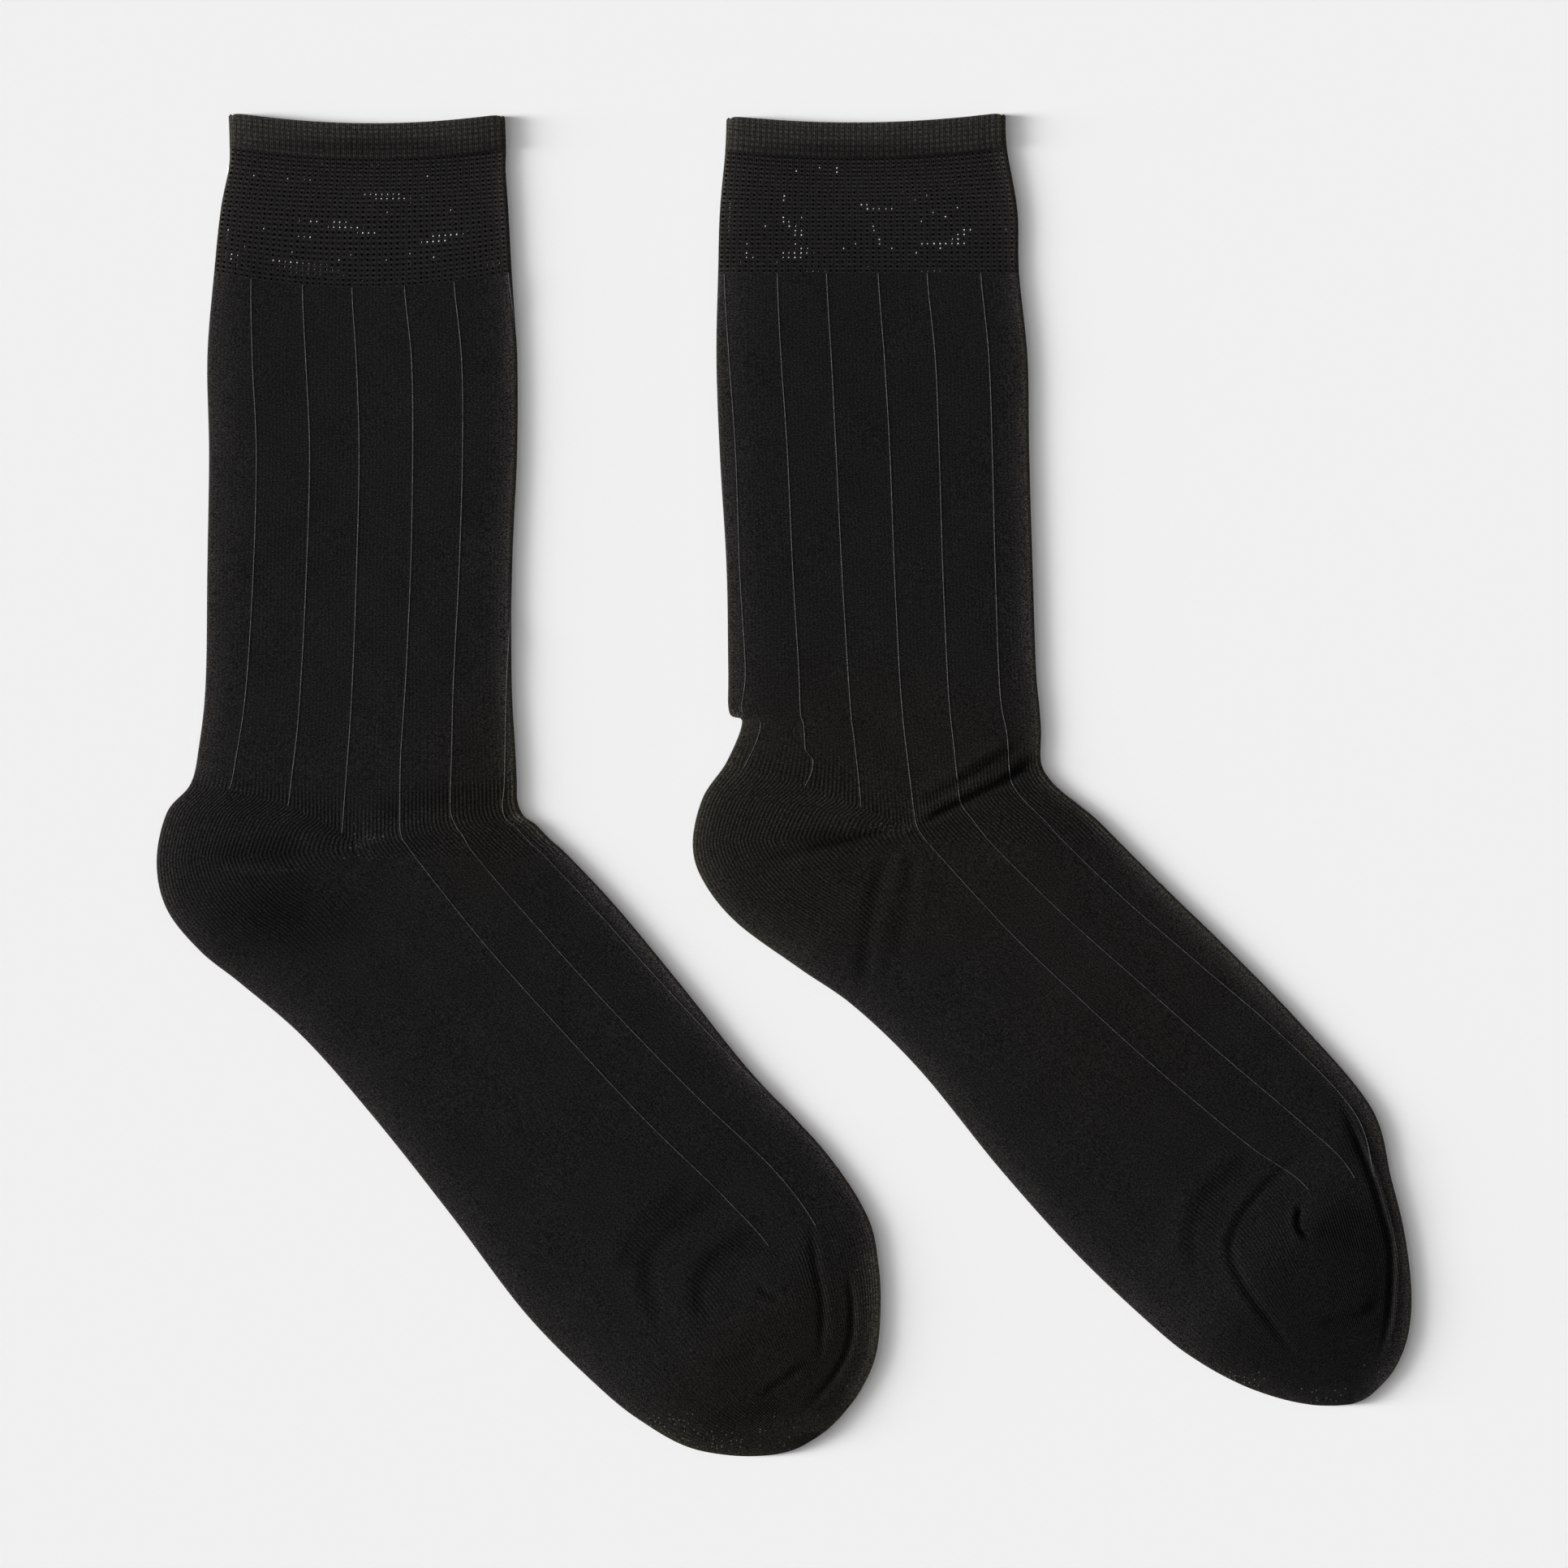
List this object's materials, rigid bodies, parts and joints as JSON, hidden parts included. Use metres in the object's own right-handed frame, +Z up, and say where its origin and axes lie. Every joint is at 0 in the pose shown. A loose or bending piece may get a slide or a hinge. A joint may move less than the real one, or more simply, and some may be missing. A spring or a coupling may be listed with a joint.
{
  "type": "pair of socks",
  "caption": "Crew-length fine-knit dress socks lying flat side by side, with a turned welt, open-mesh cuff, thin pinstripes, and plain heel and toe pockets.",
  "frame": {"origin": "on the surface that the pair lies on, under the middle of its outline", "axes": "+X across the pair towards the side that the toes point to, +Y along the legs towards the cuffs, +Z up out of the surface"},
  "size_m": [0.371, 0.3971, 0.0066],
  "materials": {
    "welt": "matte black double knit",
    "cuff": "matte black open mesh rib",
    "leg": "matte black fine jersey with grey pinstripes",
    "heel": "matte black reinforced jersey",
    "toe": "matte black reinforced jersey"
  },
  "bodies": {
    "root": {"left_welt": "welt", "left_cuff": "cuff", "left_leg_and_foot": "leg", "left_heel": "heel", "left_toe": "toe", "right_welt": "welt", "right_cuff": "cuff", "right_leg_and_foot": "leg", "right_heel": "heel", "right_toe": "toe"}
  },
  "joints": []
}
